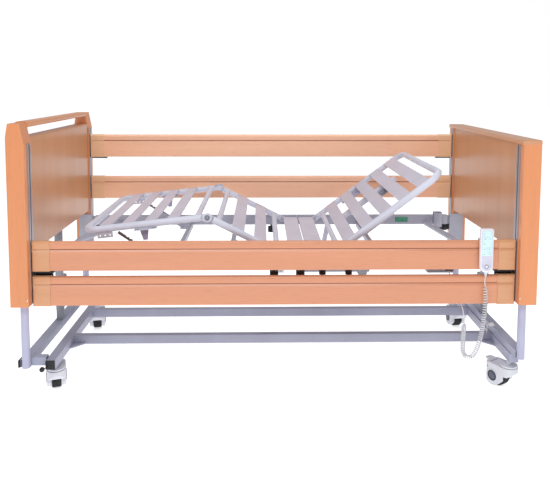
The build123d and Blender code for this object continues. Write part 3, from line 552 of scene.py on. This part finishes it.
def guide_channels():
    """Slotted guide strip on the inner face of each post, in which the rails slide; a dark box in each
    slot is painted shadow.
    """
    half, slot, lip, deep = 0.0185, 0.0045, 0.0030, 0.0006
    section = [
        (-half, 0), (half, 0), (half, lip), (slot, lip), (slot, deep), (-slot, deep), (-slot, lip),
        (-half, lip),
    ]
    channel = bmesh.new()
    shadow = bmesh.new()
    for end, high in CHANNEL_TOPS.items():
        low_x, high_x = sided(end, BOARD_FACE - deep - 0.0004, BOARD_FACE + 0.001)
        for side in (-1, 1):
            prism(
                channel, section, CHANNEL_LOW, high,
                lambda a, b, c: (end * (BOARD_FACE - b), side * (CHANNEL_MIDDLE + a), c),
            )
            low_y, high_y = sided(side, CHANNEL_MIDDLE - slot, CHANNEL_MIDDLE + slot)
            # painted shadow: a dark box fills each shallow slot where shade would lie
            add_box(
                shadow, (low_x, low_y, CHANNEL_LOW + 0.001), (high_x, high_y, high - 0.001),
                0.0002, 1,
            )
    strips = finish_mesh("rail_guide_channels", channel, CHANNEL_METAL, "deck")
    slot_shadows = finish_mesh("rail_guide_slot_shadows", shadow, DARK_GREY, "deck")


def screw_profile(radius, height):
    """Domed screw head with a shallow recess."""
    dome = [(radius * cos(t * pi / 12), height * sin(t * pi / 12)) for t in range(6)]
    return [(radius, -0.002)] + dome + [(radius * 0.3, height * 0.55), (0.0, height * 0.5)]


def groove_shade_strips():
    """Painted shade: a dark strip on the bed of the groove along both faces of every rail, darkening it
    where shade falls.
    """
    for side, level in (("near", "top"), ("near", "bottom"), ("far", "top"), ("far", "bottom")):
        name = f"{side}_{level}_rail"
        low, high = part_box(name)
        bm = bmesh.new()
        for y, inward in ((low[1], 1), (high[1], -1)):
            bed = y + inward * GROOVE_DEPTH
            y_low, y_high = sorted((bed - inward * 0.0014, bed + inward * 0.0004))
            add_box(
                bm, (low[0] + 0.001, y_low, high[2] - GROOVE_Z - 0.0036),
                (high[0] - 0.001, y_high, high[2] - GROOVE_Z - 0.0005), 0.0003, 1,
            )
        strip = finish_mesh(f"{name}_groove", bm, GROOVE_SHADE_BROWN, name)


def post_screws():
    """A pale screw low on the outer face of each post."""
    bm = bmesh.new()
    for end in (-1, 1):
        for side in (-1, 1):
            place = basis((end * (BOARD_FACE + 0.005), side * POST_OUT, POST_SCREW_Z), (0, side, 0))
            add_lathe(bm, screw_profile(0.0038, 0.0018), place, 20)
    screws = finish_mesh("post_screws", bm, SCREW_STEEL, "deck")


guide_channels()
groove_shade_strips()
post_screws()


# ---- castors ------------------------------------------------------------------------------------
HUB_REACH = 0.0420            # from a wheel's centre to the face of its hub


def castor_axle(corner):
    """Centre and axle direction of a castor wheel, from its roll joint."""
    joint = JOINTS[f"{corner}_roll"]
    return Vector(joint["pos_m"]), Vector(joint["axis"]).normalized()


def hub_caps():
    """Dark ring and blue-grey centre on both faces of each castor hub."""
    for corner in CORNERS:
        centre, axle = castor_axle(corner)
        rings = bmesh.new()
        centres = bmesh.new()
        for side in (-1, 1):
            place = basis(centre + axle * side * HUB_REACH, axle * side)
            add_lathe(rings, [
                (0.0, -0.001), (0.0235, -0.001), (0.0235, 0.0006), (0.0225, 0.0016),
                (0.0150, 0.0010), (0.0145, -0.0002), (0.0, -0.0002),
            ], place, 40)
            add_lathe(centres, [
                (0.0, -0.0005), (0.0140, -0.0005), (0.0140, 0.0003), (0.0120, 0.0012),
                (0.0070, 0.0016), (0.0060, 0.0008), (0.0, 0.0008),
            ], place, 36)
        ring = finish_mesh(f"castor_{corner}_hub_rings", rings, DARK_GREY, f"{corner}_castor")
        middle = finish_mesh(f"castor_{corner}_hub_centres", centres, HUB_GREY, f"{corner}_castor")


hub_caps()


# ---- hand control -------------------------------------------------------------------------------
def rounded_outline(x_low, x_high, z_low, z_high, low_radius, high_radius, steps=10):
    """Points round a slab with one radius at its lower and another at its upper corners."""
    corners = [
        (x_high - low_radius, z_low + low_radius, low_radius, -pi / 2),
        (x_high - high_radius, z_high - high_radius, high_radius, 0.0),
        (x_low + high_radius, z_high - high_radius, high_radius, pi / 2),
        (x_low + low_radius, z_low + low_radius, low_radius, pi),
    ]
    points = []
    for x, z, radius, start in corners:
        for step in range(steps + 1):
            turn = start + pi / 2 * step / steps
            points.append((x + radius * cos(turn), z + radius * sin(turn)))
    return points


def slab_between(bm, loops):
    """Skin a stack of equal loops of points and close both ends."""
    rings = [[bm.verts.new(point) for point in loop] for loop in loops]
    for low, high in zip(rings, rings[1:]):
        count = len(low)
        for index in range(count):
            after = (index + 1) % count
            bm.faces.new((low[index], low[after], high[after], high[index]))
    bm.faces.new(rings[0])
    bm.faces.new(rings[-1])


SHELL_LOW, SHELL_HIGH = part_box("handset_shell")
SHELL_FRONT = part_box("handset_keypad")[1][1]
SHELL_BACK = SHELL_FRONT + 0.022
SHELL_X = (SHELL_LOW[0] + SHELL_HIGH[0]) / 2
SHELL_HALF = (SHELL_HIGH[0] - SHELL_LOW[0]) / 2
HOOK_HALF = 0.020
HOOK_THICK = 0.0045
FILM_FACE = SHELL_FRONT - 0.0013
KEYS_LOW = 0.6385
KEYS_INSET = 0.0075           # of the key field from the shell's sides
KEY_ROWS = 5
KEY_TOP = SHELL_HIGH[2] - 0.022
KEY_STEP = 0.0210
KEY_REACH = 0.0115            # from the middle to a column of keys
LOCK_X = SHELL_X - 0.001
LOCK_Z = SHELL_LOW[2] + 0.028
NECK_Y = -0.495
NECK_RIBS = 4


def handset_body():
    """Crowned shell of the hand control with its hook over the rail."""
    bm = bmesh.new()
    loops = []
    front_round = [(0.0055, 0.0), (0.0030, 0.0008), (0.0012, 0.0024), (0.0003, 0.0048), (0.0, 0.0080)]
    back_round = [(0.0, 0.0150), (0.0010, 0.0190), (0.0035, 0.0212), (0.0065, 0.0220)]
    for inset, depth in front_round + back_round:
        half = SHELL_HALF - inset
        outline = rounded_outline(
            SHELL_X - half, SHELL_X + half, SHELL_LOW[2] + inset, SHELL_HIGH[2] - inset,
            half - 0.0005, max(0.0015, 0.0070 - inset),
        )
        loops.append([(x, SHELL_FRONT + depth, z) for x, z in outline])
    slab_between(bm, loops)
    rail_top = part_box("near_top_rail")[1][2]
    hook_low = rail_top + 0.0014
    back = SHELL_HIGH[1]
    left, right = SHELL_X - HOOK_HALF, SHELL_X + HOOK_HALF
    add_box(
        bm, (left, SHELL_BACK - 0.003, hook_low), (right, back, hook_low + HOOK_THICK), 0.0015, 2
    )
    add_box(bm, (left, back - 0.004, hook_low - 0.014), (right, back, hook_low + 0.003), 0.0015, 2)
    shell = finish_mesh("handset_body", bm, HANDSET_WHITE, "handset", smooth=50)
    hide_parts("handset_shell")


def front_sheet(layers, low, low_round=None):
    """A thin sheet on the hand control's front, from (inset, depth) layers.

    Its lower corners are full rounds where low_round isn't given.
    """
    loops = []
    for inset, depth in layers:
        half = SHELL_HALF - inset
        outline = rounded_outline(
            SHELL_X - half, SHELL_X + half, low + inset, SHELL_HIGH[2] - inset,
            low_round or half - 0.0005, 0.0030,
        )
        loops.append([(x, SHELL_FRONT + depth, z) for x, z in outline])
    sheet = bmesh.new()
    slab_between(sheet, loops)
    return sheet


def keypad_film():
    """Front film: a lavender sheet with a pale cyan key field on its upper part."""
    layers = ((0.0058, 0.0008), (0.0058, -0.0003), (0.0062, -0.0006))
    outer = front_sheet(layers, SHELL_LOW[2] + 0.004)
    sheet = finish_mesh("handset_film", outer, LOWER_FILM, "handset")
    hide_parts("handset_keypad")
    layers = ((KEYS_INSET, -0.0003), (KEYS_INSET, -0.0010), (KEYS_INSET + 0.0005, -0.0013))
    keys = front_sheet(layers, KEYS_LOW - KEYS_INSET, low_round=0.0040)
    field = finish_mesh("handset_key_field", keys, KEYPAD_FILM, "handset")


def key_marks():
    """Raised blister keys in two columns, each with two plain crossed bars on it."""
    keys = bmesh.new()
    bars = bmesh.new()
    for row in range(KEY_ROWS):
        z = KEY_TOP - KEY_STEP * row
        for column in (-1, 1):
            x = SHELL_X + column * KEY_REACH
            place = basis((x, FILM_FACE, z), (0, -1, 0))
            add_lathe(keys, [
                (0.0, -0.0004), (0.0068, -0.0004), (0.0064, 0.0004), (0.0040, 0.0007), (0.0, 0.0008),
            ], place, 28)
            upright = x + column * (-1) ** row * 0.0022
            for middle, half, rise in ((x, 0.0030, 0.0008), (upright, 0.0008, 0.0032)):
                add_box(
                    bars, (middle - half, FILM_FACE - 0.0011, z - rise),
                    (middle + half, FILM_FACE - 0.0006, z + rise), 0.0002, 1,
                )
    blister = finish_mesh("handset_keys", keys, KEY_BLISTER, "handset", smooth=60)
    lines = finish_mesh("handset_key_bars", bars, KEY_TINT, "handset")


def lock_dial():
    """Round lock near the lower end: a dark rim round a pale disc, with a dash on each side."""
    rim = bmesh.new()
    place = basis((LOCK_X, FILM_FACE + 0.0006, LOCK_Z), (0, -1, 0))
    add_lathe(rim, [
        (0.0064, -0.0004), (0.0084, -0.0004), (0.0084, 0.0006), (0.0079, 0.0010), (0.0068, 0.0010),
        (0.0064, 0.0006), (0.0064, -0.0004),
    ], place, 36)
    for side, reach in ((-1, 0.0150), (1, 0.0135)):
        x = LOCK_X + side * reach
        add_box(
            rim, (x - 0.0016, FILM_FACE - 0.0005, LOCK_Z + 0.0035),
            (x + 0.0016, FILM_FACE + 0.0002, LOCK_Z + 0.0047), 0.0002, 1,
        )
    ring = finish_mesh("handset_lock_rim", rim, LOCK_RIM, "handset")
    disc = bmesh.new()
    add_lathe(disc, [
        (0.0, -0.0004), (0.0063, -0.0004), (0.0063, 0.0003), (0.0056, 0.0008), (0.0, 0.0009),
    ], place, 36)
    face = finish_mesh("handset_lock_disc", disc, HANDSET_WHITE, "handset")


def strain_relief():
    """Tapered ribbed neck under the hand control."""
    low = Vector((SHELL_X, NECK_Y, SHELL_LOW[2] + 0.003))
    profile = [(0.0, -0.004), (0.0078, -0.004), (0.0080, 0.002)]
    for rib in range(NECK_RIBS):
        z = 0.004 + rib * 0.0042
        radius = 0.0074 - rib * 0.0010
        valley = radius - 0.0010
        profile += [(radius, z), (radius, z + 0.0026), (valley, z + 0.0030), (valley, z + 0.0040)]
    profile += [(0.0030, 0.0215), (0.0, 0.0215)]
    bm = bmesh.new()
    add_lathe(bm, profile, basis(low, (0, 0, -1)), 28)
    neck = finish_mesh("handset_strain_relief", bm, NECK_GREY, "handset")


handset_body()
keypad_film()
key_marks()
lock_dial()
strain_relief()


# ---- fittings on the lying frame and the base ---------------------------------------------------
BACK_PITCH = radians(37)
CALF_PITCH = radians(6.4)
LABEL_FACE = 0.408            # inner face of the far side member
LABEL_X = (0.690, 0.762)
LABEL_Z = (0.580, 0.608)
CLIP_X = 1.035
CLIP_Y = -0.178
CLIP_Z = 0.210                # top of the head lift frame
STRIP_RUN = (0.175, 0.340)    # along the backrest from its hinge
SPINE_Y = 0.09
SPINE_RUN = (0.105, 0.470)
SPINE_SCREWS = (0.14, 0.23, 0.32, 0.41)


def hinge_caps():
    """Domed bolt head with its washer on the outside of each knee."""
    joint = JOINTS["knee_fold"]
    x, _, z = joint["pos_m"]
    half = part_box("knee_plates")[1][1]
    bm = bmesh.new()
    for side in (-1, 1):
        place = basis((x, side * (half - 0.0005), z), (0, side, 0))
        add_lathe(bm, [
            (0.0, -0.002), (0.0120, -0.002), (0.0120, 0.0008), (0.0112, 0.0016), (0.0078, 0.0016),
            (0.0074, 0.0034), (0.0058, 0.0056), (0.0030, 0.0066), (0.0, 0.0069),
        ], place, 32)
    bolts = finish_mesh("knee_bolt_caps", bm, BOLT_STEEL, "knee")


def blank_label():
    """Plain green sticker on the inner face of the far side member, nothing printed on it."""
    bm = bmesh.new()
    add_box(
        bm, (LABEL_X[0], LABEL_FACE - 0.0006, LABEL_Z[0]), (LABEL_X[1], LABEL_FACE + 0.0002, LABEL_Z[1]),
        0.0002, 1,
    )
    label = finish_mesh("blank_label", bm, LABEL_FILM, "deck")


def cable_clip():
    """White clip with a short strap on the head lift frame."""
    bm = bmesh.new()
    x, y, top = CLIP_X, CLIP_Y, CLIP_Z
    back = x - 0.0230
    add_box(bm, (x - 0.012, y - 0.012, top - 0.0005), (x + 0.012, y + 0.012, top + 0.006), 0.002, 3)
    place = basis((x, y, top + 0.004), (0, 0, 1))
    add_lathe(bm, [
        (0.0, 0.0), (0.0085, 0.0), (0.0085, 0.006), (0.0070, 0.0085), (0.0, 0.0090),
    ], place, 28)
    for right, low in ((x - 0.0205, top - 0.040), (x - 0.008, top + 0.0015)):
        add_box(bm, (back, y - 0.0035, low), (right, y + 0.0035, top + 0.004), 0.0008, 2)
    clip = finish_mesh("base_cable_clip", bm, CLIP_WHITE, "base")


def section_place(joint, pitch):
    """Frame on a lying section: X along it away from its hinge, Z out of its top."""
    x, _, z = JOINTS[joint]["pos_m"]
    return Matrix.Translation((x, 0, z)) @ Matrix.Rotation(-pitch, 4, "Y")


BACK_PLACE = section_place("backrest_raise", BACK_PITCH)
CALF_PLACE = section_place("knee_fold", CALF_PITCH) @ Matrix.Rotation(pi, 4, "Z")


def backrest_fittings():
    """Edge strips, their brackets and the middle spine with its hub, all under the backrest."""
    start, stop = STRIP_RUN
    strips = bmesh.new()
    brackets = bmesh.new()
    for side in (-1, 1):
        low, high = sided(side, 0.360, 0.3715)
        add_box(strips, (start, low, -0.0240), (stop, high, -0.0205), 0.0010, 2, BACK_PLACE)
        low, high = sided(side, 0.3695, 0.3720)
        add_box(strips, (start, low, -0.0236), (stop, high, -0.0125), 0.0008, 2, BACK_PLACE)
        low, high = sided(side, 0.305, 0.365)
        add_box(brackets, (0.240, low, -0.0200), (0.312, high, -0.0130), 0.0030, 3, BACK_PLACE)
        low, high = sided(side, 0.318, 0.352)
        add_box(brackets, (0.252, low, -0.0232), (0.300, high, -0.0180), 0.0020, 2, BACK_PLACE)
    edge = finish_mesh("backrest_edge_strips", strips, SECTION_STEEL, "backrest")
    hold = finish_mesh("backrest_brackets", brackets, BRACKET_STEEL, "backrest")
    spine = bmesh.new()
    section = [
        (-0.030, -0.006), (-0.030, -0.022), (-0.024, -0.022), (-0.024, -0.010), (0.024, -0.010),
        (0.024, -0.022), (0.030, -0.022), (0.030, -0.006),
    ]
    prism(spine, section, *SPINE_RUN, lambda a, b, c: BACK_PLACE @ Vector((c, SPINE_Y + a, b)))
    for along in SPINE_SCREWS:
        place = BACK_PLACE @ basis((along, SPINE_Y, -0.010), (0, 0, -1))
        add_lathe(spine, [
            (0.0, -0.001), (0.0075, -0.001), (0.0075, 0.0040), (0.0060, 0.0052), (0.0, 0.0056),
        ], place, 6)
    rib = finish_mesh("backrest_spine", spine, SECTION_STEEL, "backrest")
    hub = bmesh.new()
    place = BACK_PLACE @ basis((0.372, 0.005, -0.0225), (0, 0, 1))
    add_lathe(hub, [
        (0.0, 0.0), (0.026, 0.0), (0.028, 0.002), (0.028, 0.006), (0.022, 0.007), (0.020, 0.004),
        (0.012, 0.004), (0.011, 0.012), (0.006, 0.013), (0.0, 0.013),
    ], place, 36)
    add_box(hub, (0.340, -0.012, -0.0215), (0.404, 0.062, -0.0175), 0.0015, 2, BACK_PLACE)
    disc = finish_mesh("backrest_hub", hub, MOTOR_GREY, "backrest")


def calf_brackets():
    """Tapered plates that hang from the calf tubes where the ratchets end."""
    bm = bmesh.new()
    outline = [(0.258, -0.012), (0.300, -0.012), (0.296, -0.040), (0.288, -0.072), (0.270, -0.072)]
    for side in (-1, 1):
        low, high = sided(side, 0.3665, 0.3715)
        prism(bm, outline, low, high, lambda a, b, c: CALF_PLACE @ Vector((a, -c, b)))
        place = CALF_PLACE @ basis((0.279, -side * 0.3655, -0.060), (0, side, 0))
        add_lathe(bm, [
            (0.0, -0.002), (0.0060, -0.002), (0.0060, 0.0030), (0.0048, 0.0042), (0.0, 0.0046),
        ], place, 24)
    plates = finish_mesh("calf_ratchet_brackets", bm, BRACKET_STEEL, "calf")


hinge_caps()
blank_label()
cable_clip()
backrest_fittings()
calf_brackets()

# ---- stage --------------------------------------------------------------------------------------
FLOOR_SIZE = 30.0
FLOOR_GLOW = 0.62             # keeps the paper white where the bed shades it
AMBIENT = 0.46
WHITE = (1.0, 1.0, 1.0, 1.0)
SKY_TINT = (0.97, 0.98, 1.0, 1.0)

floor_mesh = bmesh.new()
bmesh.ops.create_grid(floor_mesh, x_segments=1, y_segments=1, size=FLOOR_SIZE)
FLOOR = Finish("floor_paper", roughness=0.9, specular=0.1)
floor_tone = FLOOR.ramp(FLOOR.noise(2.0), [(0.3, (0.93, 0.93, 0.94, 1)), (0.7, (0.95, 0.95, 0.96, 1))])
FLOOR.link(floor_tone, FLOOR.shader.inputs["Base Color"])
FLOOR.shader.inputs["Emission Color"].default_value = WHITE
FLOOR.shader.inputs["Emission Strength"].default_value = FLOOR_GLOW
floor = finish_mesh("floor", floor_mesh, FLOOR.material, None)


def area_light(name, place, aim, width, height, power):
    """Add a rectangular soft light of a power in watts that points at aim."""
    data = bpy.data.lights.new(name, "AREA")
    data.shape = "RECTANGLE"
    data.size = width
    data.size_y = height
    data.energy = power
    light = bpy.data.objects.new(name, data)
    light.location = place
    light.rotation_euler = (Vector(aim) - Vector(place)).to_track_quat("-Z", "Y").to_euler()
    bpy.context.scene.collection.objects.link(light)


area_light("key", (-0.5, -3.7, 3.6), (0, -0.2, 0.6), 4.2, 0.8, 84)
area_light("fill", (3.6, -3.2, 1.8), (0, 0, 0.6), 2.0, 2.0, 12)
area_light("top", (0.0, 0.6, 4.2), (0, 0, 0.6), 4.0, 2.4, 60)


def studio_world():
    """A soft even surround that the camera sees as plain white."""
    world = bpy.data.worlds.new("studio")
    world.use_nodes = True
    tree = world.node_tree
    background = tree.nodes["Background"]
    background.inputs["Color"].default_value = SKY_TINT
    background.inputs["Strength"].default_value = AMBIENT
    paper = tree.nodes.new("ShaderNodeBackground")
    paper.inputs["Color"].default_value = WHITE
    paper.inputs["Strength"].default_value = 1.0
    seen = tree.nodes.new("ShaderNodeLightPath")
    mix = tree.nodes.new("ShaderNodeMixShader")
    tree.links.new(seen.outputs["Is Camera Ray"], mix.inputs["Fac"])
    tree.links.new(background.outputs["Background"], mix.inputs[1])
    tree.links.new(paper.outputs["Background"], mix.inputs[2])
    tree.links.new(mix.outputs["Shader"], tree.nodes["World Output"].inputs["Surface"])
    bpy.context.scene.world = world


studio_world()
